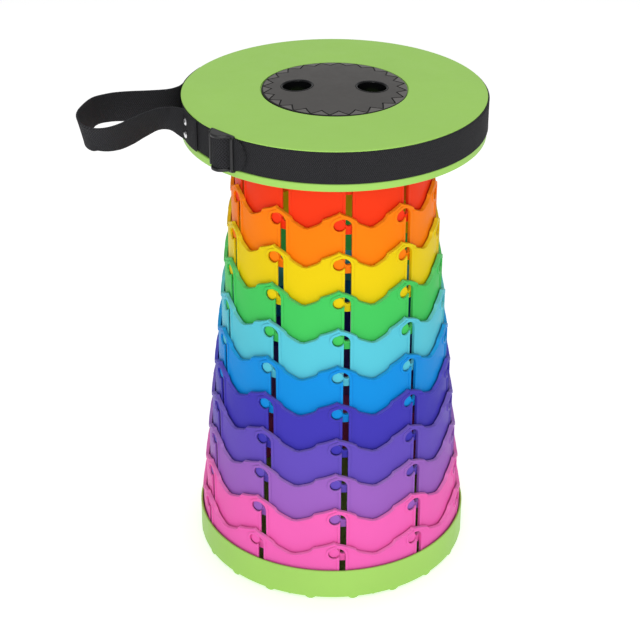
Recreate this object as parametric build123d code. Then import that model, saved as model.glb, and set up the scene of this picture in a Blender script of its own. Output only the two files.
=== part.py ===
from build123d import *

import math
import os

# Collapsible ring stool, in millimetres. +Z is up. The origin is on the column's axis,
# at the level of the feet. Angles around the axis are in degrees from the front (-Y),
# positive towards +X, and the model shows the stool pulled out to its full height.

os.makedirs("parts", exist_ok=True)

# ---- driving dimensions -------------------------------------------------------------
STOOL_HEIGHT = 450.0          # feet to the edge of the seat's top
STEP = 35.0                   # travel of each sliding ring
RING_COLOURS = ["red", "orange", "yellow", "green", "cyan", "blue", "indigo", "violet", "orchid", "pink"]
OUTER_INDEX = 11              # ring 0 hangs under the seat, rings 1 to 10 slide, ring 11 is in the base
SECTORS = 10                  # hooks, studs and scallops around each ring
PITCH = 360.0 / SECTORS

RING_HEIGHT = 56.8            # bottom edge to the points of the rim
VALLEY_DEPTH = 16.0           # rim's points down to its valleys
RING_WALL = 2.5
OUTER_RING_R = 124.2          # outside of the wall of ring 11
RING_STEP_R = 3.7             # each ring is this much smaller than the one around it
BEAD = 0.7                    # raised lip along the rim and beside the slots
RIM_LIP = 2.0
SLOT_LIP = 2.3

FOOT_DEPTH = 2.2              # feet below the base floor
FLOOR_T = 1.5
RING_REST_Z = 4.0             # bottom edge of ring 11, and of every ring when folded

SLOT_HALF = 2.9               # half width of the hook slot
SLOT_FOOT_Z = 7.9             # lower end of the slot above the ring's bottom edge
SEAT_X = -7.7                 # the hook's seat, left of the slot's middle seen from outside
STUD_R = 5.0
STUD_Z = 9.9                  # stud's middle above the ring's bottom edge
SEAT_R = 5.3                  # opening around a stud
SEAT_Z = STUD_Z + STEP
ARCH_R = 7.6                  # outer curve of the hook's arch
ARCH_Z = SEAT_Z - 1.2
STUD_PROUD = 2.5
STUD_ROOT = 0.5               # studs start this far inside the wall's outer face
GROOVE_DEPTH = 1.6            # groove inside the wall that a stud slides down
GROOVE_CLEAR = 0.3
SLOT_ANGLE_OUTER = 4.4        # slot nearest the front on ring 11
SLOT_ANGLE_STEP = 0.37        # each ring inwards sits turned by this much

BASE_R = 127.2
BASE_WALL = 1.9
BASE_RIM_Z = 31.5
FOOT_COUNT = 20
FOOT_R = 6.0
FOOT_REACH = 4.0              # feet go this far in from the wall
PAD_R = 22.0                  # middle foot under the base
RIB_LIFT = 0.6                # ribs under the base stay clear of the ground
POCKET_DEPTH = 0.9            # pockets in the base wall for ring 11's short studs
BASE_STUD_PROUD = 1.6

SEAT_R_OUT = 129.8
SKIRT_WALL = 2.0
SEAT_TOP_T = 3.2
CROWN = 2.0                   # the seat's top rises this much to the middle
RIM_R = 131.9                 # the top's edge overhangs the strap
RIM_Z = (448.6, 449.3)        # underside of the overhang and start of the rolled edge
EDGE_ROLL = 15.0              # the top's edge rolls over within this distance
UNDER_ROUND = 3.0
FLANGE_ROUND = 1.0
FLANGE_R = 132.3
FLANGE_Z = (414.0, 420.6)

PLATE_R = 63.0                # domed finger plate in the middle of the seat
PLATE_GAP = 1.0               # gap around the plate
PLATE_BED = 1.3               # depth of its bed in the seat
PLATE_EDGE_T = 1.5
PLATE_DOME = 2.9
PLATE_ROUND = 0.5
PLATE_TURN = -2.0             # the plate's holes are turned this much
HOLE_X = 32.2
HOLE_R = 12.2                 # inside of the sleeves that line the finger holes
SLEEVE_R = 14.2
SLEEVE_DEPTH = 12.0           # below the plate's bed
SLEEVE_ROUND = 1.5            # rounded inner lip
SLEEVE_PROUD = 0.3
SLEEVE_GAP = 0.2

WEB_T = 1.7                   # webbing
WEB_H = 27.6
WEB_Z = 434.6                 # middle of the band
BAND_R = 129.9                # inside of the band
RIVET_R = 2.6
RIVET_T = 1.1

SEAT_UNDER_Z = STOOL_HEIGHT - SEAT_TOP_T
SCREW_COUNT = 6
SCREW_R = 1.7
SCREW_REACH = 5.0             # shank above the tab
SCREW_HEAD_R = 3.4
SCREW_HEAD_T = 1.8
CROSS_LENGTH = 3.6
CROSS_WIDTH = 0.8
TAB_R = 74.5
TAB_HALF = 5.0
TAB_T = 2.5
TAB_Z = 438.0
BOSS_R = 4.5

HUB_R = 24.0                  # ring that joins the ribs under the seat
RIB_T = 2.0
RIB_COUNT = 12
RIB_REACH = 44.0
RIB_DEPTH = 6.0
CUP_T = 1.6
PLATE_BED_Z = STOOL_HEIGHT + CROWN * (1 - (PLATE_R / SEAT_R_OUT) ** 2) - PLATE_BED

TOOTH_COUNT = 24
TOOTH_TURN = -4.0
TOOTH_IN = 54.0
TOOTH_OUT = 61.7
TOOTH_LINE = 0.9
TOOTH_DEPTH = 0.5

BUCKLE_ANGLE = -43.6
BUCKLE_W = 28.0
BUCKLE_H = 33.0
BUCKLE_T = 3.2
BUCKLE_SLOT_X = 6.7           # middles of the two openings, either side of the middle bar
BUCKLE_SLOT_W = 6.5
TAB_END_ANGLE = -32.8
TAB_START_ANGLE = -55.5
FRONT_PATCH = (-61.0, -77.0)
REAR_PATCH = (-100.0, -116.0)
FRONT_RIVETS = -69.5
REAR_RIVETS = -108.0
RIVET_SPREAD = 6.0


# ---- helpers ------------------------------------------------------------------------
def around(radius, angle, z):
    """A point on a circle about the column's axis."""
    turn = math.radians(angle)
    return Vector(radius * math.sin(turn), -radius * math.cos(turn), z)


def facing(angle, z=0.0):
    """The plane through the axis that faces outwards at an angle, with its Y along +Z."""
    turn = math.radians(angle)
    right = (math.cos(turn), math.sin(turn), 0)
    outward = (math.sin(turn), -math.cos(turn), 0)
    return Plane(origin=(0, 0, z), x_dir=right, z_dir=outward)


def tube(radius_out, radius_in, low, high):
    """An upright tube about the axis."""
    wall = Circle(radius_out) - Circle(radius_in)
    return Pos(0, 0, low) * extrude(wall, high - low)


def radial(face, angle, z, near, far):
    """A flat outline pushed outwards through the wall, from one radius to another."""
    plane = facing(angle, z)
    return extrude(plane * Pos(0, 0, near) * face, far - near, dir=plane.z_dir)


def outline(points):
    """A closed outline through the points."""
    return make_face(Polyline(*points, close=True))


def save(node, shape):
    """One STEP for each named node."""
    shape.label = node
    export_step(shape, f"parts/{node}.step")


# ---- rings --------------------------------------------------------------------------
def ring_radius(index):
    return OUTER_RING_R - (OUTER_INDEX - index) * RING_STEP_R


def ring_bottom(index):
    return RING_REST_Z + (OUTER_INDEX - index) * STEP


def slot_angle(index):
    return SLOT_ANGLE_OUTER + (OUTER_INDEX - index) * SLOT_ANGLE_STEP


def seat_angle(index):
    """Where the hooks of a ring hold the studs of the next ring inwards."""
    return slot_angle(index) + math.degrees(SEAT_X / ring_radius(index))


def rim_points(index, drop):
    """One scallop from left to right in the plane that faces the seat's middle, lowered by a lip."""
    left = [(-15.0, 14.7), (-11.2, 11.6), (-9.8, 9.8), (-8.9, 6.9), (-5.0, 4.4), (-1.3, 1.6)]
    right = [(1.3, 1.6), (4.0, 3.0), (6.6, 5.2), (9.1, 7.9), (9.8, 10.2), (11.2, 11.8), (15.6, 15.2)]
    radius = ring_radius(index)
    return [
        (radius * math.sin(math.radians(turn)), RING_HEIGHT - depth - drop)
        for turn, depth in left + [(0.0, 0.0)] + right
    ]


def rim_cutter(index, drop, top):
    """Everything above one scallop of the rim, in the plane that faces the seat's middle."""
    half = ring_radius(index) * math.sin(math.radians(PITCH / 2))
    valley = RING_HEIGHT - VALLEY_DEPTH - drop
    flat_from = half * 0.94
    overlap = half * 1.05
    edge = [(-overlap, valley), (-flat_from, valley)]
    edge += rim_points(index, drop)
    edge += [(flat_from, valley), (overlap, valley)]
    return outline(edge + [(overlap, top), (-overlap, top)])


def slot_outline(grow):
    """The upside-down J that a stud climbs, from the slot's foot over to its seat."""
    half = SLOT_HALF + grow
    arch_r = ARCH_R + grow
    seat_r = SEAT_R + grow
    arch = Vector(SLOT_HALF - ARCH_R, ARCH_Z)
    seat = Vector(SEAT_X, SEAT_Z)
    span = seat - arch
    along = (arch_r ** 2 - seat_r ** 2 + span.length ** 2) / (2 * span.length)
    meet_angle = math.atan2(span.Y, span.X) - math.acos(along / arch_r)
    meet = on_circle(arch, arch_r, meet_angle)
    tongue_angle = -math.acos((-half - SEAT_X) / seat_r)
    tongue = on_circle(seat, seat_r, tongue_angle)
    foot_z = SLOT_FOOT_Z + SLOT_HALF
    edges = [
        ThreePointArc((-half, foot_z), (0, foot_z - half), (half, foot_z)),
        Line((half, foot_z), (half, ARCH_Z)),
        ThreePointArc((half, ARCH_Z), on_circle(arch, arch_r, meet_angle / 2), meet),
        ThreePointArc(meet, on_circle(seat, seat_r, math.pi), tongue),
        Line(tongue, (-half, foot_z)),
    ]
    return make_face(Wire(edges))


def on_circle(middle, radius, angle):
    """A point on a flat circle, with the angle in radians."""
    return middle + Vector(math.cos(angle), math.sin(angle)) * radius


def studs(index, proud):
    """Ten round studs near the ring's bottom edge, each facing a seat of the ring around it."""
    radius = ring_radius(index)
    middle = seat_angle(min(index + 1, OUTER_INDEX))
    if index == OUTER_INDEX:
        middle = slot_angle(index) + math.degrees(SEAT_X / radius)
    button = extrude(Circle(STUD_R), proud + STUD_ROOT)
    button = chamfer(button.edges().group_by(Axis.Z)[-1], 0.5)
    found = []
    for sector in range(SECTORS):
        plane = facing(middle + sector * PITCH, ring_bottom(index) + STUD_Z)
        found.append(plane * Pos(0, 0, radius - STUD_ROOT) * button)
    return found


def hooked_ring(index, proud=STUD_PROUD):
    """One ring: scalloped rim, ten hook slots with raised lips, grooves inside and studs."""
    radius = ring_radius(index)
    bottom = ring_bottom(index)
    near = (radius - RING_WALL) * math.cos(math.radians(PITCH / 2 + 3))
    far = radius + 3.0
    seat = seat_angle(index)
    slot = slot_angle(index)
    inside_slot = slot_outline(0.0)
    lipped_slot = slot_outline(SLOT_LIP)
    rim = rim_cutter(index, 0.0, RING_HEIGHT + 3.0)
    core = tube(radius, radius - 20.0, -5.0, RING_HEIGHT + 5.0)
    half = radius * math.sin(math.radians(PITCH / 2)) * 1.03
    below_rim = Pos(0, RING_HEIGHT / 2) * Rectangle(2 * half, RING_HEIGHT + 8.0)
    below_rim -= rim_cutter(index, RIM_LIP, RING_HEIGHT + 8.0)

    wall = tube(radius + BEAD, radius - RING_WALL, 0.0, RING_HEIGHT)
    cuts = []
    groove_top = SEAT_Z
    groove_low = STUD_Z - STUD_R - GROOVE_CLEAR
    groove_left = SEAT_X - STUD_R - GROOVE_CLEAR
    groove_right = -SLOT_HALF / 2
    groove = Pos((groove_left + groove_right) / 2, (groove_low + groove_top) / 2) * Rectangle(
        groove_right - groove_left, groove_top - groove_low
    )
    groove_floor = tube(radius + 20.0, radius - RING_WALL + GROOVE_DEPTH, -5.0, RING_HEIGHT + 5.0)
    lip_zone = radial(lipped_slot, 0.0, 0.0, near, far)
    field = radial(below_rim, seat - slot, 0.0, radius - 10.0, far) - core - lip_zone
    channel = radial(groove, 0.0, 0.0, near - 2.0, far) - groove_floor
    hook = radial(inside_slot, 0.0, 0.0, near, far)
    scallop = radial(rim, seat - slot, 0.0, near, far)
    for sector in range(SECTORS):
        turn = Rot(0, 0, slot + sector * PITCH)
        cuts += [turn * piece for piece in (field, channel, hook, scallop)]
    wall = wall - cuts
    wall = Pos(0, 0, bottom) * wall
    return wall + studs(index, proud)


def neck_ring():
    """Ring 0: a plain ring fixed under the seat, with studs for ring 1's hooks."""
    radius = ring_radius(0)
    bottom = ring_bottom(0)
    wall = tube(radius, radius - RING_WALL, bottom, SEAT_UNDER_Z)
    tabs = []
    for turn in range(SCREW_COUNT):
        tab = Pos(0, TAB_R) * Circle(TAB_HALF)
        tab += Pos(0, TAB_R + TAB_HALF) * Rectangle(2 * TAB_HALF, 2 * TAB_HALF)
        lug = extrude(tab, TAB_T) & Cylinder(radius - 1.0, 20.0)
        lug -= Pos(0, TAB_R) * Cylinder(SCREW_R + 0.2, 20.0)
        tabs.append(Pos(0, 0, TAB_Z) * Rot(0, 0, turn * 360.0 / SCREW_COUNT) * lug)
    return wall + tabs + studs(0, STUD_PROUD)


# ---- seat ---------------------------------------------------------------------------
def crown_z(radius):
    """Height of the seat's gently crowned top at a radius."""
    return STOOL_HEIGHT + CROWN * (1 - (radius / SEAT_R_OUT) ** 2)


def seat_shell():
    """Crowned top, skirt behind the strap and the flange below it, with ribs underneath."""
    inner = SEAT_R_OUT - SKIRT_WALL
    corner = inner - UNDER_ROUND
    low, high = FLANGE_Z
    tip = FLANGE_R - FLANGE_ROUND
    bed_r = PLATE_R + PLATE_GAP
    rim_low, rim_high = RIM_Z
    roll_start = RIM_R - EDGE_ROLL
    roll_slope = 2 * CROWN * roll_start / SEAT_R_OUT ** 2
    halfway = (roll_start + bed_r) / 2
    profile = [
        Line((0, SEAT_UNDER_Z), (corner, SEAT_UNDER_Z)),
        RadiusArc((corner, SEAT_UNDER_Z), (inner, SEAT_UNDER_Z - UNDER_ROUND), UNDER_ROUND),
        Line((inner, SEAT_UNDER_Z - UNDER_ROUND), (inner, low)),
        Line((inner, low), (tip, low)),
        RadiusArc((tip, low), (FLANGE_R, low + FLANGE_ROUND), -FLANGE_ROUND),
        Line((FLANGE_R, low + FLANGE_ROUND), (FLANGE_R, high - FLANGE_ROUND)),
        RadiusArc((FLANGE_R, high - FLANGE_ROUND), (tip, high), -FLANGE_ROUND),
        Line((tip, high), (SEAT_R_OUT, high)),
        Line((SEAT_R_OUT, high), (SEAT_R_OUT, rim_low)),
        Line((SEAT_R_OUT, rim_low), (RIM_R, rim_low)),
        Line((RIM_R, rim_low), (RIM_R, rim_high)),
        Bezier(
            (RIM_R, rim_high),
            (RIM_R, STOOL_HEIGHT),
            (roll_start + EDGE_ROLL / 2, crown_z(roll_start) - roll_slope * EDGE_ROLL / 2),
            (roll_start, crown_z(roll_start)),
        ),
        ThreePointArc(
            (roll_start, crown_z(roll_start)),
            (halfway, crown_z(halfway)),
            (bed_r, crown_z(bed_r)),
        ),
        Line((bed_r, crown_z(bed_r)), (bed_r, PLATE_BED_Z)),
        Line((bed_r, PLATE_BED_Z), (0, PLATE_BED_Z)),
        Line((0, PLATE_BED_Z), (0, SEAT_UNDER_Z)),
    ]
    section = make_face(Wire(profile))
    shell = revolve(Plane.XZ * section, Axis.Z)
    ribs = []
    for turn in range(RIB_COUNT):
        rib = Pos(RIB_REACH / 2 + HUB_R, 0, SEAT_UNDER_Z - RIB_DEPTH / 2) * Box(RIB_REACH, RIB_T, RIB_DEPTH)
        ribs.append(Rot(0, 0, (turn + 0.5) * 360.0 / RIB_COUNT) * rib)
    hub = tube(HUB_R + RIB_T, HUB_R, SEAT_UNDER_Z - RIB_DEPTH, SEAT_UNDER_Z)
    bosses = []
    for turn in range(SCREW_COUNT):
        boss = tube(BOSS_R, SCREW_R, TAB_Z + TAB_T, SEAT_UNDER_Z)
        bosses.append(Rot(0, 0, turn * 360.0 / SCREW_COUNT) * Pos(0, TAB_R, 0) * boss)
    shell = shell + ribs + [hub] + bosses
    well_r = SLEEVE_R + SLEEVE_GAP
    cup_r = well_r + CUP_T
    wells = [hole * Cylinder(well_r, 60.0) for hole in hole_places(STOOL_HEIGHT)]
    cups = [
        hole * Pos(0, 0, -SLEEVE_DEPTH - CUP_T / 2) * Cylinder(cup_r, CUP_T)
        for hole in hole_places(PLATE_BED_Z)
    ]
    cup_low = PLATE_BED_Z - SLEEVE_DEPTH - CUP_T
    walls = [hole * tube(cup_r, well_r, cup_low, SEAT_UNDER_Z) for hole in hole_places(0)]
    return shell - wells + cups + walls


def hole_places(z):
    """The two finger holes' axes."""
    return [Rot(0, 0, PLATE_TURN) * Pos(side * HOLE_X, 0, z) for side in (-1, 1)]


def domed_disc(lift=0.0):
    """The finger plate's blank: flat below, with a shallow dome on top."""
    edge_z = PLATE_BED_Z + PLATE_EDGE_T + lift
    reach = PLATE_R - PLATE_ROUND
    dome_r = (reach ** 2 + PLATE_DOME ** 2) / (2 * PLATE_DOME)
    middle_z = edge_z + PLATE_DOME - dome_r + math.sqrt(dome_r ** 2 - reach ** 2 / 4)
    profile = [
        Line((0, PLATE_BED_Z), (PLATE_R, PLATE_BED_Z)),
        Line((PLATE_R, PLATE_BED_Z), (PLATE_R, edge_z - PLATE_ROUND)),
        RadiusArc((PLATE_R, edge_z - PLATE_ROUND), (reach, edge_z), -PLATE_ROUND),
        ThreePointArc((reach, edge_z), (reach / 2, middle_z), (0, edge_z + PLATE_DOME)),
        Line((0, edge_z + PLATE_DOME), (0, PLATE_BED_Z)),
    ]
    return revolve(Plane.XZ * make_face(Wire(profile)), Axis.Z)


def grip_plate():
    """Domed plate in the seat, engraved with a ring of zigzag teeth, with two holes for the sleeves."""
    teeth = []
    for tooth in range(TOOTH_COUNT):
        teeth.append(Rot(0, 0, TOOTH_TURN + tooth * 360.0 / TOOTH_COUNT) * tooth_line())
    engraving = [tooth - domed_disc(-TOOTH_DEPTH) for tooth in teeth]
    holes = [hole * Cylinder(SLEEVE_R + SLEEVE_GAP, 80.0) for hole in hole_places(STOOL_HEIGHT)]
    return domed_disc() - holes - engraving


def tooth_line():
    """One V of the zigzag, from the inner circle to the outer and back, as an upright wall."""
    half = math.pi / TOOTH_COUNT
    start = (TOOTH_IN * math.cos(-half), TOOTH_IN * math.sin(-half))
    tip = (TOOTH_OUT, 0)
    end = (TOOTH_IN * math.cos(half), TOOTH_IN * math.sin(half))
    line = trace(Polyline(start, tip, end), TOOTH_LINE)
    return Pos(0, 0, PLATE_BED_Z) * extrude(line, 2 * PLATE_DOME)


def finger_sleeves():
    """Two glossy sleeves with rounded lips that line the finger holes and follow the plate's dome."""
    above = Pos(0, 0, PLATE_BED_Z) * extrude(Circle(PLATE_R), 4 * PLATE_DOME) - domed_disc(SLEEVE_PROUD)
    sleeves = []
    for hole in hole_places(PLATE_BED_Z - SLEEVE_DEPTH):
        sleeve = hole * extrude(Circle(SLEEVE_R) - Circle(HOLE_R), SLEEVE_DEPTH + 2 * PLATE_DOME) - above
        sleeves.append(fillet(sleeve.edges().group_by(Axis.Z)[-1], SLEEVE_ROUND))
    return Compound(children=sleeves)


def seat_screws():
    """Screws from below that hold ring 0 to the seat."""
    found = []
    for turn in range(SCREW_COUNT):
        head = Pos(0, 0, TAB_Z - SCREW_HEAD_T) * extrude(Circle(SCREW_HEAD_R), SCREW_HEAD_T)
        head = fillet(head.edges().sort_by(Axis.Z)[0], 0.8)
        shank = Pos(0, 0, TAB_Z) * extrude(Circle(SCREW_R - 0.02), TAB_T + SCREW_REACH)
        bar = Box(CROSS_LENGTH, CROSS_WIDTH, SCREW_HEAD_T) + Box(CROSS_WIDTH, CROSS_LENGTH, SCREW_HEAD_T)
        cross = Pos(0, 0, TAB_Z - SCREW_HEAD_T) * bar
        found.append(Rot(0, 0, turn * 360.0 / SCREW_COUNT) * Pos(0, TAB_R, 0) * (head + shank - cross))
    return Compound(children=found)


# ---- strap and handle ---------------------------------------------------------------
def arc_strip(radius_in, thickness, first, last, height):
    """A strip of webbing that follows the seat between two angles."""
    band = tube(radius_in + thickness, radius_in, WEB_Z - height / 2, WEB_Z + height / 2)
    reach = 2 * radius_in
    middle = (first + last) / 2
    corner = [around(reach, angle, 0) for angle in (first, middle, last)]
    wedge = outline([(0, 0)] + [(point.X, point.Y) for point in corner])
    return band & Pos(0, 0, WEB_Z - height) * extrude(wedge, 2 * height)


def strap_band():
    """The band around the seat and its rounded free end, which lies over the band."""
    band = tube(BAND_R + WEB_T, BAND_R, WEB_Z - WEB_H / 2, WEB_Z + WEB_H / 2)
    tab = arc_strip(BAND_R + WEB_T, WEB_T, TAB_START_ANGLE, TAB_END_ANGLE, WEB_H)
    return band + tab


def strap_buckle():
    """A three-bar slide, gently bent to lie on the strap, with the webbing over its middle bar."""
    inside = BAND_R + 2 * WEB_T + 0.15
    body = tube(inside + BUCKLE_T, inside, WEB_Z - BUCKLE_H / 2, WEB_Z + BUCKLE_H / 2)
    frame = RectangleRounded(BUCKLE_W, BUCKLE_H, 3.0)
    for side in (-1, 1):
        frame -= Pos(side * BUCKLE_SLOT_X, 0) * RectangleRounded(BUCKLE_SLOT_W, WEB_H + 0.6, 1.5)
    return body & radial(frame, BUCKLE_ANGLE, WEB_Z, inside - 8.0, inside + 12.0)


def handle_path():
    """Middle line of the handle's webbing, seen from above: rivets, loop, rivets."""
    middle = BAND_R + WEB_T + 0.1 + WEB_T / 2
    first, leave = FRONT_PATCH
    arrive, last = REAR_PATCH
    start = around(middle, leave, 0)
    end = around(middle, arrive, 0)
    away = around(1.0, leave - 90.0, 0)
    home = around(1.0, arrive - 90.0, 0)
    turn_out = start + away * 19.0
    turn_in = end - home * 12.0
    loop = [
        start,
        turn_out,
        Vector(-198, -87),
        Vector(-218, -57),
        Vector(-211.5, -19.5),
        Vector(-193, -4),
        turn_in,
        end,
    ]
    radii = [7.5, 13, 30, 28, 38, 14]
    corners = [(point.X, point.Y) for point in loop]
    free = FilletPolyline(*corners, radius=radii)
    front = ThreePointArc(*[flat(around(middle, angle, 0)) for angle in (first, (first + leave) / 2, leave)])
    rear = ThreePointArc(*[flat(around(middle, angle, 0)) for angle in (arrive, (arrive + last) / 2, last)])
    return Wire([front.edge()] + list(free.edges()) + [rear.edge()])


def flat(point):
    return (point.X, point.Y)


def handle_loop():
    """The carrying loop: one strap of webbing riveted to the band at both ends."""
    strip = trace(handle_path(), WEB_T)
    return Pos(0, 0, WEB_Z - WEB_H / 2) * extrude(strip, WEB_H)


def handle_rivets():
    """Four round rivets through the handle's ends."""
    outside = BAND_R + 2 * WEB_T + 0.1
    found = []
    for angle in (FRONT_RIVETS, REAR_RIVETS):
        for side in (-1, 1):
            head = extrude(Circle(RIVET_R), RIVET_T)
            head = fillet(head.edges().group_by(Axis.Z)[-1], 0.7)
            plane = facing(angle, WEB_Z + side * RIVET_SPREAD)
            found.append(plane * Pos(0, 0, outside + 0.02) * head)
    return Compound(children=found)


# ---- base ---------------------------------------------------------------------------
def base_pan():
    """Shallow pan with a rounded rim, small feet, a middle foot, ribs and pockets for ring 11's studs."""
    low = FOOT_DEPTH
    inner = BASE_R - BASE_WALL
    pan = Pos(0, 0, low) * extrude(Circle(BASE_R), BASE_RIM_Z - low)
    pan -= Pos(0, 0, low + FLOOR_T) * extrude(Circle(inner), BASE_RIM_Z)
    pan = fillet(pan.edges().group_by(Axis.Z)[-1], 0.8)
    ledge = tube(BASE_R, inner - FOOT_REACH, 0.0, low + 0.5)
    extras = [extrude(Circle(PAD_R), low)]
    for foot in range(FOOT_COUNT):
        turn = (foot + 0.5) * 360.0 / FOOT_COUNT
        foot_bar = radial(Circle(FOOT_R), turn, FOOT_R, inner - 2 * FOOT_REACH, BASE_R + FOOT_REACH)
        extras.append(foot_bar & ledge)
    for turn in range(SECTORS):
        rib = Box(inner - PAD_R + 1.0, RIB_T, low - RIB_LIFT)
        rib = Pos((PAD_R + inner) / 2, 0, low / 2 + RIB_LIFT / 2) * rib
        extras.append(Rot(0, 0, turn * PITCH) * rib)
    pan = pan + extras
    pockets = []
    middle = seat_angle(OUTER_INDEX)
    for sector in range(SECTORS):
        turn = middle + sector * PITCH
        stud_z = RING_REST_Z + STUD_Z
        pockets.append(radial(Circle(SEAT_R), turn, stud_z, inner - 3.0, inner + POCKET_DEPTH))
    return pan - pockets


# ---- the whole stool ----------------------------------------------------------------
save("base_pan", base_pan())
save("base_ring", hooked_ring(OUTER_INDEX, BASE_STUD_PROUD))
for place, colour in enumerate(RING_COLOURS, start=1):
    save(f"{colour}_ring", hooked_ring(place))
save("neck_ring", neck_ring())
save("seat_shell", seat_shell())
save("seat_screws", seat_screws())
save("grip_plate", grip_plate())
save("finger_sleeves", finger_sleeves())
save("strap_band", strap_band())
save("strap_buckle", strap_buckle())
save("handle_loop", handle_loop())
save("handle_rivets", handle_rivets())
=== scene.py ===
import math

import bmesh
import bpy
import numpy as np
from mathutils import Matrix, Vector


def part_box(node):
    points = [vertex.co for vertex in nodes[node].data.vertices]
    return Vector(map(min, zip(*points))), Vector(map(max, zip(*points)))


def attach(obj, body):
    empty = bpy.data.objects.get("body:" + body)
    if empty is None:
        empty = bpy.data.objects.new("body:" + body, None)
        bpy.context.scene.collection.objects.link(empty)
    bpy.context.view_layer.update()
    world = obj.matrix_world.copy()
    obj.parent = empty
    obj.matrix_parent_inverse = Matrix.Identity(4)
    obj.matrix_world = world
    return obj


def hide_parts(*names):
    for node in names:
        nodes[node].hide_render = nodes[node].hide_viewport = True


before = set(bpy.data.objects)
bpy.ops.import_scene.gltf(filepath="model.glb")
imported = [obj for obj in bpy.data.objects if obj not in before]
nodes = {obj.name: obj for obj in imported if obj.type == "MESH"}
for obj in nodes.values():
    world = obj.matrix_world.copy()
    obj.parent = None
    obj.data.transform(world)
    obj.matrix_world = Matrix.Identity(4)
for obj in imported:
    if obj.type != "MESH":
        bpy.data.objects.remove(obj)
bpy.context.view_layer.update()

MM = 0.001

# Colours, as linear red, green and blue.
LIME = (0.352, 0.635, 0.124)
PLATE_GREY = (0.078, 0.074, 0.071)
SLEEVE_BLACK = (0.005, 0.005, 0.006)
BUCKLE_BLACK = (0.012, 0.012, 0.013)
WEB_BLACK = (0.027, 0.027, 0.0295)
RIVET_DULL = (0.62, 0.62, 0.64)
RIVET_BRIGHT = (0.86, 0.86, 0.87)
RING_TINTS = {
    "red": (0.92, 0.043, 0.008),
    "orange": (1.00, 0.215, 0.003),
    "yellow": (0.80, 0.590, 0.004),
    "green": (0.058, 0.560, 0.108),
    "cyan": (0.096, 0.545, 0.660),
    "blue": (0.005, 0.262, 0.705),
    "indigo": (0.052, 0.040, 0.430),
    "violet": (0.124, 0.073, 0.475),
    "orchid": (0.318, 0.118, 0.500),
    "pink": (0.850, 0.124, 0.455),
}


# ---- materials ----------------------------------------------------------------------
# Noise cells per metre, by what they stand for.
FLOW_CELLS = 14.0
SCUFF_CELLS = 70.0
GRAIN_CELLS = 1500.0
SCRATCH_CELLS = 900.0
CLOUD_CELLS = 35.0
FUZZ_CELLS = 2400.0

NOISE_RANGE = (0.3, 0.7)      # the part of the noise that gloss follows
FLOW_TONES = (0.94, 1.06)     # mottling against the plain colour
PLASTIC_IOR = 1.48
GRAIN_DEPTH = 0.2 * MM
EDGE_SAMPLES = 6
PALE_EDGE_START = 0.98              # cosine between a face and its rounded edge where the paler edge, partly wear and partly painted highlight, starts
PALE_EDGE_FULL = 0.75               # and where it is complete
LIFT = 0.65                   # power that lightens a colour and keeps its hue
MIX_COLOUR = 2                # a Mix node's colour output


def new_material(name):
    """A node material, with its tree and its shader."""
    material = bpy.data.materials.new(name)
    material.use_nodes = True
    tree = material.node_tree
    shader = tree.nodes["Principled BSDF"]
    return material, tree, shader


def node(tree, kind, **inputs):
    """Adds a node, with constant inputs by name."""
    added = tree.nodes.new(kind)
    for key, value in inputs.items():
        added.inputs[key.replace("_", " ")].default_value = value
    return added


def wire(tree, source, output, target, socket):
    tree.links.new(source.outputs[output], target.inputs[socket])


def mixed(tree, factor, low, high):
    """A colour between low and high, each a colour or (node, output).

    factor is a number or (node, output).
    """
    mix = tree.nodes.new("ShaderNodeMix")
    mix.data_type = "RGBA"
    sockets = {"Factor": mix.inputs[0], "A": mix.inputs[6], "B": mix.inputs[7]}
    for key, value in (("Factor", factor), ("A", low), ("B", high)):
        if isinstance(value, tuple) and isinstance(value[0], bpy.types.Node):
            tree.links.new(value[0].outputs[value[1]], sockets[key])
        elif key == "Factor":
            sockets[key].default_value = value
        else:
            sockets[key].default_value = (*value, 1.0)
    return mix


def ramp(tree, source, output, start, end, low=0.0, high=1.0):
    """A number that runs from low to high as a node's output runs from start to end."""
    added = node(tree, "ShaderNodeMapRange", From_Min=start, From_Max=end, To_Min=low, To_Max=high)
    wire(tree, source, output, added, "Value")
    return added


def noise(tree, place, cells, detail, rough=0.5):
    """Noise with so many cells per metre."""
    added = node(tree, "ShaderNodeTexNoise", Scale=cells, Detail=detail, Roughness=rough)
    wire(tree, place, "Object", added, "Vector")
    return added


def scaled(colour, amount):
    return tuple(min(1.0, channel * amount) for channel in colour)


def lifted(colour):
    """A lighter tone of the same hue."""
    return tuple(channel ** LIFT for channel in colour)


def math_node(tree, kind, first, second=None):
    """A maths node; first and second are numbers or (node, output)."""
    added = tree.nodes.new("ShaderNodeMath")
    added.operation = kind
    for socket, value in zip(added.inputs, (first, second)):
        if isinstance(value, tuple):
            tree.links.new(value[0].outputs[value[1]], socket)
        elif value is not None:
            socket.default_value = value
    return added


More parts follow.
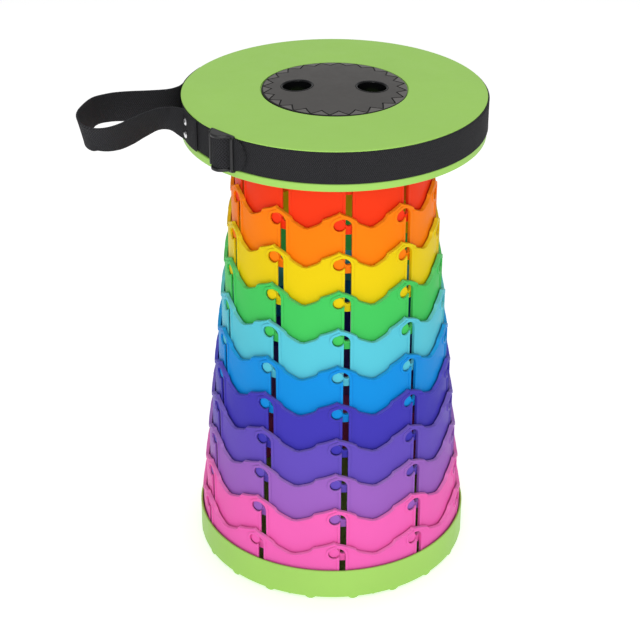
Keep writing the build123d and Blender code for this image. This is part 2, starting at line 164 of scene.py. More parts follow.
def moulded_plastic(
    name, colour, rough=0.42, grain=0.10, edge_wear_and_highlight=0.12, shine=0.16, edge=0.35 * MM, tones=None
):
    """Injection-moulded plastic: faint flow mottling, satin grain, and softened edges painted paler,
    partly as wear and partly as a painted highlight.

    tones, where given, takes the tree, the place node, the mottled colour's node and the plain colour.
    It adds nodes that vary the colour over the piece, and returns the last.
    """
    material, tree, shader = new_material(name)
    place = tree.nodes.new("ShaderNodeTexCoord")
    mottle = noise(tree, place, FLOW_CELLS, 3.0, 0.55)
    base = mixed(tree, (mottle, "Fac"), *[scaled(colour, amount) for amount in FLOW_TONES])
    if tones:
        base = tones(tree, place, base, colour)
    rounded = node(tree, "ShaderNodeBevel", Radius=edge)
    rounded.samples = EDGE_SAMPLES
    flat = tree.nodes.new("ShaderNodeNewGeometry")
    match = tree.nodes.new("ShaderNodeVectorMath")
    match.operation = "DOT_PRODUCT"
    wire(tree, rounded, "Normal", match, 0)
    wire(tree, flat, "Normal", match, 1)
    # Paler edges: partly wear, partly a painted highlight where rims and lips catch the light.
    wear_and_highlight_mask = ramp(tree, match, "Value", PALE_EDGE_START, PALE_EDGE_FULL, 0.0, edge_wear_and_highlight)
    tint = mixed(tree, (wear_and_highlight_mask, "Result"), (base, MIX_COLOUR), lifted(colour))
    wire(tree, tint, MIX_COLOUR, shader, "Base Color")
    grain_noise = noise(tree, place, GRAIN_CELLS, 2.0, 0.6)
    bump = node(tree, "ShaderNodeBump", Strength=grain, Distance=GRAIN_DEPTH)
    wire(tree, grain_noise, "Fac", bump, "Height")
    wire(tree, rounded, "Normal", bump, "Normal")
    wire(tree, bump, "Normal", shader, "Normal")
    scuff = noise(tree, place, SCUFF_CELLS, 4.0, 0.65)
    gloss = ramp(tree, scuff, "Fac", *NOISE_RANGE, rough - 0.05, rough + 0.07)
    wire(tree, gloss, "Result", shader, "Roughness")
    shader.inputs["IOR"].default_value = PLASTIC_IOR
    shader.inputs["Specular IOR Level"].default_value = shine
    return material


RIM_FACING = (0.2, 0.6)       # upward part of a normal where the painted light starts and is full
# Most that the painted light from above pales the rims.
RIM_PAINTED_LIGHT = 0.8


def painted_rim_light(tree, place, base, colour):
    """Painted light: faces that look up, such as the rings' scalloped rims, painted paler than the walls
    as if lit from above.
    """
    flat = tree.nodes.new("ShaderNodeNewGeometry")
    split = tree.nodes.new("ShaderNodeSeparateXYZ")
    wire(tree, flat, "Normal", split, "Vector")
    upward = ramp(tree, split, "Z", *RIM_FACING, 0.0, RIM_PAINTED_LIGHT)
    return mixed(tree, (upward, "Result"), (base, MIX_COLOUR), lifted(colour))


# The plate's zigzag in metres and turns, on the CAD plate's teeth.
TOOTH_COUNT = 24
TOOTH_IN = 54.0 * MM
TOOTH_OUT = 61.7 * MM
TOOTH_TURN = -4.0 / 360
TOOTH_LINE = 1.0 * MM         # half the width of the painted shade line in the groove, with its soft edge
LINE_CORE = 0.8               # share of it that is fully shaded
OUTSIDE_BLUR = 0.1 * MM
OUTSIDE_TONE = 1.7            # the plate outside the zigzag against inside it
# Painted shade in the groove and at the plate's edge, against the plate's colour.
PAINTED_SHADE_TONE = 0.08
PLATE_SHADE_EDGE = 62.3 * MM        # where the painted shade along the plate's edge starts
EDGE_SHADE_BLUR = 0.3 * MM
EDGE_SHADE_SHIFT = (1.0 * MM, 0.8 * MM)     # the painted edge shade is wider at the front left


def reach_from(tree, place, x, y):
    """Distance in plan from an upright line through (x, y)."""
    flat = tree.nodes.new("ShaderNodeVectorMath")
    flat.operation = "MULTIPLY_ADD"
    flat.inputs[1].default_value = (1.0, 1.0, 0.0)
    flat.inputs[2].default_value = (-x, -y, 0.0)
    wire(tree, place, "Object", flat, 0)
    length = tree.nodes.new("ShaderNodeVectorMath")
    length.operation = "LENGTH"
    wire(tree, flat, "Vector", length, 0)
    return length


def zigzag_and_painted_shade(tree, place, base, colour):
    """Painted shade in the engraved zigzag's groove and along the plate's edge, and a paler tone outside
    the zigzag.
    """
    split = tree.nodes.new("ShaderNodeSeparateXYZ")
    wire(tree, place, "Object", split, "Vector")
    turn = math_node(tree, "ARCTAN2", (split, "Y"), (split, "X"))
    turns = math_node(tree, "DIVIDE", (turn, "Value"), 2 * math.pi)
    own = math_node(tree, "SUBTRACT", (turns, "Value"), TOOTH_TURN)
    teeth = math_node(tree, "MULTIPLY", (own, "Value"), TOOTH_COUNT)
    saw = math_node(tree, "PINGPONG", (teeth, "Value"), 0.5)
    fall = math_node(tree, "MULTIPLY", (saw, "Value"), -2 * (TOOTH_OUT - TOOTH_IN))
    edge_r = math_node(tree, "ADD", (fall, "Value"), TOOTH_OUT)
    reach = reach_from(tree, place, 0.0, 0.0)
    edge_shade_reach = reach_from(tree, place, *EDGE_SHADE_SHIFT)
    beyond = math_node(tree, "SUBTRACT", (reach, "Value"), (edge_r, "Value"))
    outside = ramp(tree, beyond, "Value", -OUTSIDE_BLUR, OUTSIDE_BLUR)
    gap = math_node(tree, "ABSOLUTE", (beyond, "Value"))
    # Painted shade: a dark line along the groove and a dark band at the plate's edge, where shade falls.
    line = ramp(tree, gap, "Value", TOOTH_LINE * LINE_CORE, TOOTH_LINE, 1.0, 0.0)
    edge_shade = ramp(tree, edge_shade_reach, "Value", PLATE_SHADE_EDGE, PLATE_SHADE_EDGE + EDGE_SHADE_BLUR)
    painted_shade = math_node(tree, "MAXIMUM", (line, "Result"), (edge_shade, "Result"))
    paler = mixed(tree, (outside, "Result"), (base, MIX_COLOUR), scaled(colour, OUTSIDE_TONE))
    return mixed(tree, (painted_shade, "Value"), (paler, MIX_COLOUR), scaled(colour, PAINTED_SHADE_TONE))


def use(target, material):
    """One material over the whole of an object."""
    target.data.materials.clear()
    target.data.materials.append(material)


# ---- CAD pieces ---------------------------------------------------------------------
WELD = 0.002 * MM             # corners within this are one point
SOFT_EDGE = 30                # faces that meet at fewer degrees than this shade as one
WALL_FACING = 8               # most degrees between a wall's normal and straight out
WALL_LEVEL = 0.02             # most that a wall's normal points up or down


def smooth_corners(mesh, upright):
    """Shading normals: smooth over soft edges, and exact on the upright walls about the column's axis."""
    corners = len(mesh.loops)
    vertex = np.empty(corners, dtype=np.int64)
    mesh.loops.foreach_get("vertex_index", vertex)
    place = np.empty(len(mesh.vertices) * 3)
    mesh.vertices.foreach_get("co", place)
    place = place.reshape(-1, 3)
    faces = len(mesh.polygons)
    sides = np.empty(faces, dtype=np.int64)
    mesh.polygons.foreach_get("loop_total", sides)
    facing = np.empty(faces * 3)
    mesh.polygons.foreach_get("normal", facing)
    facing = np.repeat(facing.reshape(-1, 3), sides, axis=0)
    area = np.empty(faces)
    mesh.polygons.foreach_get("area", area)
    weight = np.repeat(area, sides)[:, None]

    cell = np.round(place / WELD).astype(np.int64)
    same_place = np.unique(cell, axis=0, return_inverse=True)[1].reshape(-1)
    point = same_place[vertex]
    order = np.argsort(point, kind="stable")
    point, normal, share = point[order], facing[order], weight[order]
    total = normal * share
    soft = math.cos(math.radians(SOFT_EDGE))
    here = np.arange(corners)
    shift = 0
    while len(here):
        shift += 1
        here = here[here + shift < corners]
        here = here[point[here] == point[here + shift]]
        near = here[(normal[here] * normal[here + shift]).sum(axis=1) > soft]
        total[near] += normal[near + shift] * share[near + shift]
        total[near + shift] += normal[near] * share[near]
    smooth = np.empty_like(total)
    smooth[order] = total / np.maximum(np.linalg.norm(total, axis=1, keepdims=True), 1e-12)
    if upright:
        outward = place[vertex] * (1.0, 1.0, 0.0)
        outward /= np.maximum(np.linalg.norm(outward, axis=1, keepdims=True), 1e-9)
        lean = (facing * outward).sum(axis=1, keepdims=True)
        radial = np.abs(lean) > math.cos(math.radians(WALL_FACING))
        wall = radial & (np.abs(facing[:, 2:]) < WALL_LEVEL)
        smooth = np.where(wall, outward * np.sign(lean), smooth)
    mesh.normals_split_custom_set(smooth.tolist())


def finish_cad(name, material, upright=True):
    """Smooth shading and a material on a carried-over CAD piece."""
    piece = nodes[name]
    use(piece, material)
    for polygon in piece.data.polygons:
        polygon.use_smooth = True
    smooth_corners(piece.data, upright)


# ---- webbing ------------------------------------------------------------------------
WEB_W = 28.0 * MM
WEB_T = 1.7 * MM
STATION = 1.0 * MM            # spacing along the band and the loop
SELVEDGE = 0.06               # how much fuller the edges are, as a share of the thickness
SELVEDGE_POWER = 8            # how close to the edge that starts

RIB_PITCH = 1.7 * MM
YARN_PITCH = 0.8 * MM
HERRINGBONE = 1.6 * MM        # width of one slant of the zigzag
SLANT = 0.9
YARN_DEPTH = 0.6              # against the ribs' depth
FUZZ_DEPTH = 0.8
WEAVE_HEIGHTS = (-1.6, 2.4)   # lowest and highest of ribs, yarns and fuzz together
WEAVE_DEPTH = 0.4 * MM
WEAVE_BUMP = 0.9
THREAD_SHADE_AND_LIGHT = (0.15, 2.6)    # painted shade on low threads and painted light on high ones, against the webbing's colour
CLOUD_TONES = (0.85, 1.15)    # slow changes of tone along it
CLOUD_SHARE = 0.15

SEAT_MIDDLE_Z = (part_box("strap_band")[0].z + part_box("strap_band")[1].z) / 2
BAND_LIFT = 0.5 * MM          # how far the strap stands off the CAD band
BAND_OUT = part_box("strap_band")[1].x + BAND_LIFT
BAND_SLACK = 1.2 * MM         # the strap hangs this much further out on the right
BAND_MID = BAND_OUT - WEB_T / 2
LAYER_AIR = 0.1 * MM          # between the band and webbing that lies on it
LAYER_MID = BAND_MID + WEB_T + LAYER_AIR
UP = Vector((0, 0, 1))


def around(radius, angle, z):
    """A point around the column, with the angle in degrees from the front towards +X."""
    turn = math.radians(angle)
    return Vector((radius * math.sin(turn), -radius * math.cos(turn), z))


def outwards(angle):
    return around(1.0, angle, 0.0)


def web_section(width, thickness):
    """Half the section of webbing as (across, out) offsets: a flat face with a fuller selvedge."""
    flats = 12
    rounds = 4
    edge = thickness / 2
    points = []
    for step in range(flats + 1):
        across = (step / flats - 0.5) * (width - 2 * edge)
        selvedge = SELVEDGE * thickness * (abs(step / flats - 0.5) * 2) ** SELVEDGE_POWER
        points.append((across, edge + selvedge))
    for step in range(1, rounds):
        turn = math.pi / 2 - math.pi / 2 * step / rounds
        points.append((width / 2 - edge + edge * math.cos(turn), edge * math.sin(turn)))
    points.append((width / 2, 0.0))
    return points


def full_section(width, thickness):
    """The whole closed section, counter-clockwise."""
    top = web_section(width, thickness)
    first_edge = [(-across, out) for across, out in top if across > (width - thickness) / 2 + 1e-9]
    upper = first_edge[::-1] + top
    lower = [(-across, -out) for across, out in upper[1:-1]]
    return upper + lower


def built(build, name, material):
    """Makes the finished bmesh an object of one material, with its faces turned outwards."""
    bmesh.ops.recalc_face_normals(build, faces=build.faces)
    mesh = bpy.data.meshes.new(name)
    build.to_mesh(mesh)
    build.free()
    piece = bpy.data.objects.new(name, mesh)
    bpy.context.scene.collection.objects.link(piece)
    use(piece, material)
    return piece


def ribbon(name, material, stations, closed=False, width_at=None):
    """Sweeps webbing along stations of (point, across, out, distance), with UVs in metres."""
    build = bmesh.new()
    uv_layer = build.loops.layers.uv.new("weave")
    rings = []
    spans = []
    for point, across, out, distance in stations:
        width = width_at(distance) if width_at else WEB_W
        section = full_section(width, WEB_T)
        rings.append([build.verts.new(point + across * a + out * o) for a, o in section])
        spans.append([a for a, o in section])
    count = len(rings)
    size = len(rings[0])
    pairs = count if closed else count - 1
    for index in range(pairs):
        here, there = rings[index], rings[(index + 1) % count]
        start = stations[index][3]
        end = stations[index + 1][3] if index + 1 < count else start + RIB_PITCH
        for side in range(size):
            after = (side + 1) % size
            face = build.faces.new((here[side], here[after], there[after], there[side]))
            face.smooth = True
            corner_u = (start, start, end, end)
            corner_v = (spans[index][side], spans[index][after], spans[index][after], spans[index][side])
            for loop, u, v in zip(face.loops, corner_u, corner_v):
                loop[uv_layer].uv = (u, v)
    if not closed:
        build.faces.new(rings[0][::-1])
        build.faces.new(rings[-1])
    return built(build, name, material)


def webbing_material(name, colour):
    """Black woven webbing: fine cross ribs with a long-way herringbone, from the strip's own UVs."""
    material, tree, shader = new_material(name)
    uv = tree.nodes.new("ShaderNodeUVMap")
    uv.uv_map = "weave"
    split = tree.nodes.new("ShaderNodeSeparateXYZ")
    wire(tree, uv, "UV", split, "Vector")

    lean = math_node(tree, "ABSOLUTE", (split, "Y"))
    zigzag = math_node(tree, "PINGPONG", (lean, "Value"), HERRINGBONE)
    shift = math_node(tree, "MULTIPLY", (zigzag, "Value"), SLANT)
    along = math_node(tree, "ADD", (split, "X"), (shift, "Value"))
    rib_turns = math_node(tree, "MULTIPLY", (along, "Value"), 2 * math.pi / RIB_PITCH)
    ribs = math_node(tree, "SINE", (rib_turns, "Value"))
    yarn_turns = math_node(tree, "MULTIPLY", (split, "Y"), 2 * math.pi / YARN_PITCH)
    yarns = math_node(tree, "SINE", (yarn_turns, "Value"))
    low_yarns = math_node(tree, "MULTIPLY", (yarns, "Value"), YARN_DEPTH)
    woven = math_node(tree, "ADD", (ribs, "Value"), (low_yarns, "Value"))
    place = tree.nodes.new("ShaderNodeTexCoord")
    fuzz = noise(tree, place, FUZZ_CELLS, 3.0)
    low_fuzz = math_node(tree, "MULTIPLY", (fuzz, "Fac"), FUZZ_DEPTH)
    height = math_node(tree, "ADD", (woven, "Value"), (low_fuzz, "Value"))
    bump = node(tree, "ShaderNodeBump", Strength=WEAVE_BUMP, Distance=WEAVE_DEPTH)
    wire(tree, height, "Value", bump, "Height")
    wire(tree, bump, "Normal", shader, "Normal")
    # Painted light and shade on the weave: high threads lighter, low threads darker.
    painted_thread_light = ramp(tree, height, "Value", *WEAVE_HEIGHTS)
    tone = mixed(tree, (painted_thread_light, "Result"), *[scaled(colour, amount) for amount in THREAD_SHADE_AND_LIGHT])
    cloud = noise(tree, place, CLOUD_CELLS, 2.0)
    shade = mixed(tree, (cloud, "Fac"), *[scaled(colour, amount) for amount in CLOUD_TONES])
    blend = mixed(tree, CLOUD_SHARE, (tone, MIX_COLOUR), (shade, MIX_COLOUR))
    wire(tree, blend, MIX_COLOUR, shader, "Base Color")
    shader.inputs["Roughness"].default_value = 0.66
    shader.inputs["Specular IOR Level"].default_value = 0.06
    shader.inputs["Sheen Weight"].default_value = 0.01
    shader.inputs["Sheen Roughness"].default_value = 0.4
    return material


def strap_band(material):
    """The band right round the seat."""
    slack = Vector((BAND_SLACK, 0, 0))
    length = 2 * math.pi * BAND_MID
    count = round(length / STATION)
    stations = []
    for index in range(count):
        angle = 360.0 * index / count
        point = around(BAND_MID, angle, SEAT_MIDDLE_Z) + slack
        stations.append((point, UP, outwards(angle), length * index / count))
    return ribbon("webbing_band", material, stations, closed=True)


# The buckle sits at this angle. Its flat layout is (along the strap, out from the band, up).
BUCKLE_ANGLE = -43.6
BAR_X = 12.0 * MM
BAR_OUT = 2.9 * MM
BAR_R = 1.5 * MM
RAIL_IN = 0.2 * MM
RAIL_OUT = 3.2 * MM
RAIL_HALF_W = 13.6 * MM
RAIL_LOW = 13.2 * MM
RAIL_HIGH = 16.2 * MM
RAIL_TAPER = 2.2 * MM         # length of the thinner stretch at each end of a rail
RAIL_THIN = 0.55              # share of the thickness lost at the very end
# A rail's outlines: share of its height from the inner end, and inset in millimetres.
RAIL_STACK = [(0.0, 0.5), (0.12, 0.15), (0.3, 0.0), (0.7, 0.0), (0.85, 0.2), (0.95, 0.55), (1.0, 1.1)]
ROLL_X = -1.6 * MM
ROLL_REACH = 8.8 * MM
ROLL_LIFT = 6.6 * MM
ROLL_FLANKS = 1.35            # higher powers make a fuller roll with steeper flanks
ROLL_CROWN = 0.55             # lower powers make its crown flatter
MIDDLE_BAR_RISE = 0.25        # share of the roll's height that the middle bar rises with it
TAB_START = -14.5 * MM
TAB_END = 24.8 * MM
TAB_STEP = 0.8 * MM
TIP_LENGTH = 0.8              # the rounded tip's length, against half the webbing's width
TIP_WIDTH = 5.0 * MM          # width at the very tip


def on_band(x, out, up=0.0):
    """A point in the buckle's flat layout, bent round the band."""
    angle = BUCKLE_ANGLE + math.degrees(x / BAND_OUT)
    return around(BAND_OUT + out, angle, SEAT_MIDDLE_Z + up)


def roll(x):
    """How far the webbing rolls out over the middle bar, along the strap."""
    share = abs(x - ROLL_X) / ROLL_REACH
    if share >= 1.0:
        return 0.0
    return ROLL_LIFT * (0.5 * (1 + math.cos(math.pi * share ** ROLL_FLANKS))) ** ROLL_CROWN


def tab_out(x):
    """How far the middle of the free end's webbing stands off the band."""
    return WEB_T / 2 + LAYER_AIR + roll(x)


def strap_tab(material):
    """The strap's free end: over the middle bar, under the outer bars, then flat with a rounded tip."""
    length = TAB_END - TAB_START
    count = round(length / TAB_STEP)
    nearby = 0.2 * MM
    stations = []
    for index in range(count + 1):
        x = TAB_START + length * index / count
        ahead = on_band(x + nearby, tab_out(x + nearby))
        behind = on_band(x - nearby, tab_out(x - nearby))
        tangent = (ahead - behind).normalized()
        stations.append((on_band(x, tab_out(x)), UP, tangent.cross(UP), x - TAB_START))
    tip = WEB_W / 2 * TIP_LENGTH

    def width_at(distance):
        left = length - distance
        if left >= tip:
            return WEB_W
        share = 1 - left / tip
        return max(TIP_WIDTH, WEB_W * math.sqrt(max(0.0, 1 - share ** 2)))

    return ribbon("webbing_tab", material, stations, width_at=width_at)


def bar(build, path, radius, sides=20):
    """Adds a round bar along points that are already in place."""
    rings = []
    for index, point in enumerate(path):
        before = path[max(0, index - 1)]
        after = path[min(len(path) - 1, index + 1)]
        tangent = (after - before).normalized()
        outward = Vector((point.x, point.y, 0)).normalized()
        side = tangent.cross(outward).normalized()
        outward = side.cross(tangent).normalized()
        ring = []
        for turn in range(sides):
            angle = 2 * math.pi * turn / sides
            sideways = point + side * radius * math.cos(angle)
            ring.append(build.verts.new(sideways + outward * radius * math.sin(angle)))
        rings.append(ring)
    for here, there in zip(rings[:-1], rings[1:]):
        for turn in range(sides):
            after = (turn + 1) % sides
            build.faces.new((here[turn], here[after], there[after], there[turn])).smooth = True
    build.faces.new(rings[0])
    build.faces.new(rings[-1][::-1])


def rail_outline(inset):
    """A rail's plan, counter-clockwise in (along, out), drawn in by an inset.

    It is flat behind and bulges in front.
    """
    half = RAIL_HALF_W - inset
    steps = 28
    front = []
    for step in range(steps + 1):
        x = half - 2 * half * step / steps
        fall = max(0.0, abs(x) - (half - RAIL_TAPER)) / RAIL_TAPER
        thick = (RAIL_OUT - RAIL_IN) * (1 - RAIL_THIN * fall ** 2)
        front.append((x, RAIL_IN + thick + roll(x) - inset))
    back = [(x, RAIL_IN + inset / 2) for x in (-half, 0.0, half)]
    return front + back


def rail(build, side):
    """Adds the top (1) or bottom (-1) rail as a stack of outlines, rounded off at its outer end."""
    rings = []
    for share, inset in RAIL_STACK:
        up = side * (RAIL_LOW + (RAIL_HIGH - RAIL_LOW) * share)
        rings.append([build.verts.new(on_band(x, out, up)) for x, out in rail_outline(inset * MM)])
    for lower, upper in zip(rings[:-1], rings[1:]):
        for index in range(len(lower)):
            after = (index + 1) % len(lower)
            build.faces.new((lower[index], lower[after], upper[after], upper[index])).smooth = True
    build.faces.new(rings[0][::-1])
    build.faces.new(rings[-1])


def strap_buckle(material):
    """Three-bar slide: three upright bars between two rails that bulge with the webbing's roll."""
    build = bmesh.new()
    reach = (RAIL_LOW + RAIL_HIGH) / 2
    steps = 12
    ups = [reach * (step / steps * 2 - 1) for step in range(steps + 1)]
    middle_out = BAR_OUT + ROLL_LIFT * MIDDLE_BAR_RISE
    for x, out in ((-BAR_X, BAR_OUT), (ROLL_X, middle_out), (BAR_X, BAR_OUT)):
        bar(build, [on_band(x, out, up) for up in ups], BAR_R)
    for side in (-1, 1):
        rail(build, side)
    return built(build, "three_bar_slide", material)


# Handle posts in millimetres: the top edge's x and y, then how far it leans from the bottom edge.
HANDLE_POSTS = [
    (-131.0, -38.5, 1.5, -5.5),
    (-140.0, -37.0, 1.0, -12.0),
    (-149.1, -41.6, 0.0, -14.3),
    (-159.0, -51.0, 0.5, -12.0),
    (-168.3, -62.0, 0.5, -9.5),
    (-178.2, -75.0, 0.8, -10.0),
    (-189.0, -83.0, 1.5, -11.6),
    (-200.4, -83.1, 0.5, -13.0),
    (-210.0, -72.0, -3.0, -10.5),
    (-215.1, -53.2, -4.6, -6.5),
    (-213.3, -37.0, -4.0, -7.5),
    (-206.2, -17.5, -2.0, -8.0),
    (-193.9, -5.5, -0.5, -4.0),
    (-178.0, -0.6, 0.0, -1.0),
    (-159.0, 1.8, 0.0, 0.0),
    (-144.0, 5.0, 0.0, 0.0),
    (-135.5, 11.5, 0.0, 0.0),
]
UPRIGHT = 10.0 * MM           # from the webbing's middle line to the line that shows its lean

# Where the handle lies on the band, and where its rivets are, in degrees.
FRONT_PATCH = (-60.2, -72.0)
REAR_PATCH = (-98.5, -116.0)
FRONT_RIVETS = -69.5
REAR_RIVETS = -108.0
PATCH_STEPS = 5
RIVET_SPREAD = 5.8 * MM
RIVET_DROP = 0.8 * MM
# A rivet's profile in millimetres: reach from its middle and height on the webbing.
RIVET_PROFILE = [
    (0.0, 0.95),
    (0.7, 0.97),
    (1.1, 1.18),
    (1.7, 1.22),
    (2.3, 0.95),
    (2.65, 0.45),
    (2.75, 0.3),
    (3.3, 0.25),
    (3.35, 0.0),
]


def handle_posts():
    """Top and bottom edge points of the whole handle, from its front rivets round to its rear ones."""
    top_z = SEAT_MIDDLE_Z + WEB_W / 2
    posts = []

    def patch(first, last):
        for step in range(PATCH_STEPS + 1):
            angle = first + (last - first) * step / PATCH_STEPS
            top = around(LAYER_MID, angle, top_z)
            posts.append((top, top - Vector((0, 0, WEB_W))))

    patch(*FRONT_PATCH)
    for x, y, lean_x, lean_y in HANDLE_POSTS:
        top = Vector((x * MM, y * MM, top_z))
        lean = Vector((lean_x * MM, lean_y * MM, 0))
        drop = math.sqrt(WEB_W ** 2 - lean.length_squared)
        posts.append((top, top - lean - Vector((0, 0, drop))))
    patch(*REAR_PATCH)
    return posts


def handle_loop(material):
    """The carrying loop: one length of webbing, riveted at both ends and standing on its edge."""
    middles = []
    uprights = []
    for top, bottom in handle_posts():
        middle = (top + bottom) / 2
        middles.append(middle)
        uprights.append(middle + (top - bottom).normalized() * UPRIGHT)

    def padded(points):
        return [2 * points[0] - points[1]] + points + [2 * points[-1] - points[-2]]

    path = spline_pairs(padded(middles), padded(uprights), STATION)
    stations = []
    distance = 0.0
    for index, (middle, upright) in enumerate(path):
        before = path[max(0, index - 1)][0]
        after = path[min(len(path) - 1, index + 1)][0]
        tangent = (after - before).normalized()
        across = (upright - middle).normalized()
        across = (across - tangent * across.dot(tangent)).normalized()
        if index:
            distance += (middle - path[index - 1][0]).length
        stations.append((middle, across, across.cross(tangent), distance))
    return ribbon("webbing_handle", material, stations)


def catmull(points, index, t):
    """A point on the smooth curve between points index and index + 1."""
    p0, p1, p2, p3 = points[index - 1:index + 3]
    square = (2 * p0 - 5 * p1 + 4 * p2 - p3) * t ** 2
    cube = (3 * p1 - p0 - 3 * p2 + p3) * t ** 3
    return 0.5 * (2 * p1 + (p2 - p0) * t + square + cube)


def spline_pairs(line, partner, step):
    """Evenly spaced pairs of points on a smooth curve and on the one that goes with it."""
    parts = 20
    dense = []
    for index in range(1, len(line) - 2):
        for part in range(parts):
            dense.append((catmull(line, index, part / parts), catmull(partner, index, part / parts)))
    dense.append((line[-2], partner[-2]))
    lengths = [0.0]
    for here, there in zip(dense[:-1], dense[1:]):
        lengths.append(lengths[-1] + (there[0] - here[0]).length)
    count = round(lengths[-1] / step)
    found = []
    cursor = 0
    for index in range(count + 1):
        want = lengths[-1] * index / count
        while cursor < len(lengths) - 2 and lengths[cursor + 1] < want:
            cursor += 1
        share = (want - lengths[cursor]) / (lengths[cursor + 1] - lengths[cursor])
        share = min(1.0, max(0.0, share))
        found.append(tuple(a.lerp(b, share) for a, b in zip(dense[cursor], dense[cursor + 1])))
    return found


def handle_rivets(material):
    """Four tubular rivets: a domed cap with a small dimple on a thin flange."""
    build = bmesh.new()
    base_out = LAYER_MID + WEB_T / 2
    sides = 32
    for angle in (FRONT_RIVETS, REAR_RIVETS):
        for side in (-1, 1):
            centre = around(base_out, angle, SEAT_MIDDLE_Z - RIVET_DROP + side * RIVET_SPREAD)
            out = outwards(angle)
            right = UP.cross(out)
            hub = build.verts.new(centre + out * RIVET_PROFILE[0][1] * MM)
            rings = []
            for reach, height in RIVET_PROFILE[1:]:
                ring = []
                for turn in range(sides):
                    spin = 2 * math.pi * turn / sides
                    offset = right * math.cos(spin) + UP * math.sin(spin)
                    ring.append(build.verts.new(centre + offset * reach * MM + out * height * MM))
                rings.append(ring)
            for turn in range(sides):
                after = (turn + 1) % sides
                build.faces.new((hub, rings[0][turn], rings[0][after])).smooth = True
                for inner, outer in zip(rings[:-1], rings[1:]):
                    build.faces.new((inner[turn], outer[turn], outer[after], inner[after])).smooth = True
            build.faces.new(rings[-1][::-1])
    return built(build, "rivet_caps", material)


def bright_metal(name):
    """Nickel-plated steel with faint scratches."""
    material, tree, shader = new_material(name)
    place = tree.nodes.new("ShaderNodeTexCoord")
    scratch = noise(tree, place, SCRATCH_CELLS, 3.0)
    tone = mixed(tree, (scratch, "Fac"), RIVET_DULL, RIVET_BRIGHT)
    wire(tree, tone, MIX_COLOUR, shader, "Base Color")
    gloss = ramp(tree, scratch, "Fac", *NOISE_RANGE, 0.18, 0.36)
    wire(tree, gloss, "Result", shader, "Roughness")
    shader.inputs["Metallic"].default_value = 1.0
    return material


lime = moulded_plastic("lime_plastic", LIME, rough=0.40)
tints = {
    colour: moulded_plastic(
        f"{colour}_plastic", tint, edge_wear_and_highlight=0.3, shine=0.06, edge=0.7 * MM, tones=painted_rim_light
    )
    for colour, tint in RING_TINTS.items()
}
plate_grey = moulded_plastic("black_plastic", PLATE_GREY, rough=0.44, grain=0.16, edge_wear_and_highlight=0.03, tones=zigzag_and_painted_shade)
sleeve_black = moulded_plastic("sleeve_plastic", SLEEVE_BLACK, rough=0.15, grain=0.02, edge_wear_and_highlight=0.0, shine=0.2)
finish_cad("base_pan", lime)
finish_cad("base_ring", tints["pink"])
for colour, material in tints.items():
    finish_cad(f"{colour}_ring", material)
finish_cad("neck_ring", tints["red"])
finish_cad("seat_shell", lime)
finish_cad("grip_plate", plate_grey)
finish_cad("finger_sleeves", sleeve_black, upright=False)
metal = bright_metal("bright_metal")
finish_cad("seat_screws", metal, upright=False)

webbing = webbing_material("black_webbing", WEB_BLACK)
buckle_black = moulded_plastic("buckle_plastic", BUCKLE_BLACK, rough=0.32, edge_wear_and_highlight=0.05, shine=0.4)
for piece, cad_node, slot in (
    (strap_band(webbing), "strap_band", "black_webbing"),
    (strap_tab(webbing), None, "black_webbing"),
    (strap_buckle(buckle_black), "strap_buckle", "buckle_plastic"),
    (handle_loop(webbing), "handle_loop", "black_webbing"),
    (handle_rivets(metal), "handle_rivets", "rivet_steel"),
):
    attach(piece, "seat")
    if cad_node:
        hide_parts(cad_node)


# ---- floor, lights and camera -------------------------------------------------------
FLOOR_REACH = 6.0
FLOOR_GREY = 0.93
FLOOR_GLOW = 0.42
WORLD_GLOW = 0.52
COLUMN_MIDDLE = (0, 0, 0.25)
COLUMN_TOP = (0, 0, 0.4)
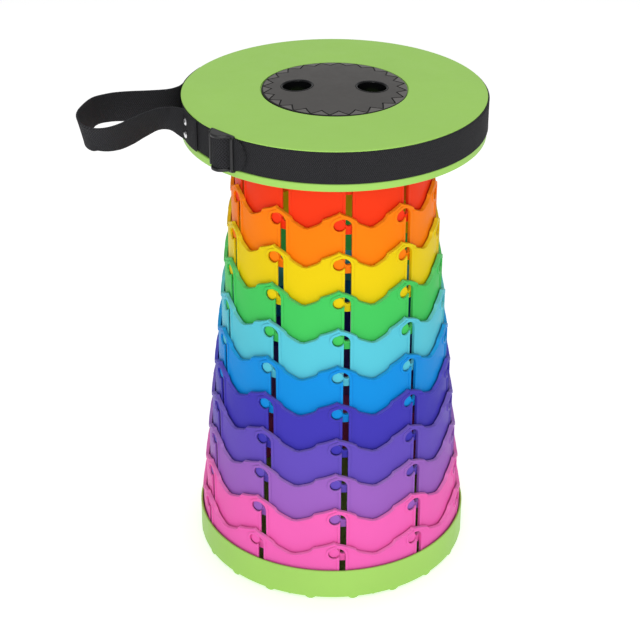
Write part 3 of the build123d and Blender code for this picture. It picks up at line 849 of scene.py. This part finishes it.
# Lamps outside the object: name, place, target, width in metres and power in watts.
LAMPS = [
    ("key", (-0.35, -2.0, 1.3), COLUMN_MIDDLE, 0.9, 8.8),
    ("low_front", (0.4, -1.9, 0.35), COLUMN_MIDDLE, 0.8, 6.0),
    ("sparkle", (-0.25, -2.0, 1.35), COLUMN_MIDDLE, 0.14, 1.3),
    ("top", (0.1, 0.3, 1.9), COLUMN_TOP, 1.3, 8.0),
]
INSIDE_LAMP = ("inside", (0, 0, 0.22), COLUMN_TOP, 0.08, 0.04)
LENS = 95.7
EYE = (-0.0117, -1.378, 0.984)
EYE_TURN = (61.12, -0.175, 0.097)     # degrees about x, y and z


def area_light(name, place, target, size, power):
    """A round soft lamp that faces its target."""
    light = bpy.data.lights.new(name, "AREA")
    light.shape = "DISK"
    light.size = size
    light.energy = power
    lamp = bpy.data.objects.new(name, light)
    bpy.context.scene.collection.objects.link(lamp)
    lamp.location = place
    lamp.rotation_euler = (Vector(target) - Vector(place)).to_track_quat("-Z", "Y").to_euler()
    return lamp


def studio():
    """A pale floor, soft light from all round, four lamps and a faint one inside the column."""
    mesh = bpy.data.meshes.new("floor")
    corners = [(x * FLOOR_REACH, y * FLOOR_REACH, 0) for x, y in ((-1, -1), (1, -1), (1, 1), (-1, 1))]
    mesh.from_pydata(corners, [], [(0, 1, 2, 3)])
    floor = bpy.data.objects.new("floor", mesh)
    bpy.context.scene.collection.objects.link(floor)
    material, _, shader = new_material("floor_paper")
    shader.inputs["Base Color"].default_value = (FLOOR_GREY, FLOOR_GREY, FLOOR_GREY, 1)
    shader.inputs["Roughness"].default_value = 0.9
    shader.inputs["Emission Color"].default_value = (1, 1, 1, 1)
    shader.inputs["Emission Strength"].default_value = FLOOR_GLOW
    use(floor, material)
    world = bpy.data.worlds.new("studio")
    world.use_nodes = True
    backdrop = world.node_tree.nodes["Background"]
    backdrop.inputs["Color"].default_value = (1.0, 1.0, 1.0, 1)
    backdrop.inputs["Strength"].default_value = WORLD_GLOW
    bpy.context.scene.world = world
    for lamp in LAMPS:
        area_light(*lamp)
    glow = area_light(*INSIDE_LAMP)
    glow.visible_camera = False


def camera():
    """The viewpoint: a long lens from the front, looking down on the seat."""
    lens = bpy.data.cameras.new("view")
    lens.lens = LENS
    lens.sensor_width = 36.0
    lens.clip_start = 0.05
    lens.clip_end = 20.0
    eye = bpy.data.objects.new("view", lens)
    eye.location = EYE
    eye.rotation_euler = [math.radians(angle) for angle in EYE_TURN]
    bpy.context.scene.collection.objects.link(eye)
    bpy.context.scene.camera = eye


studio()
camera()
bpy.context.scene.view_settings.view_transform = "Standard"
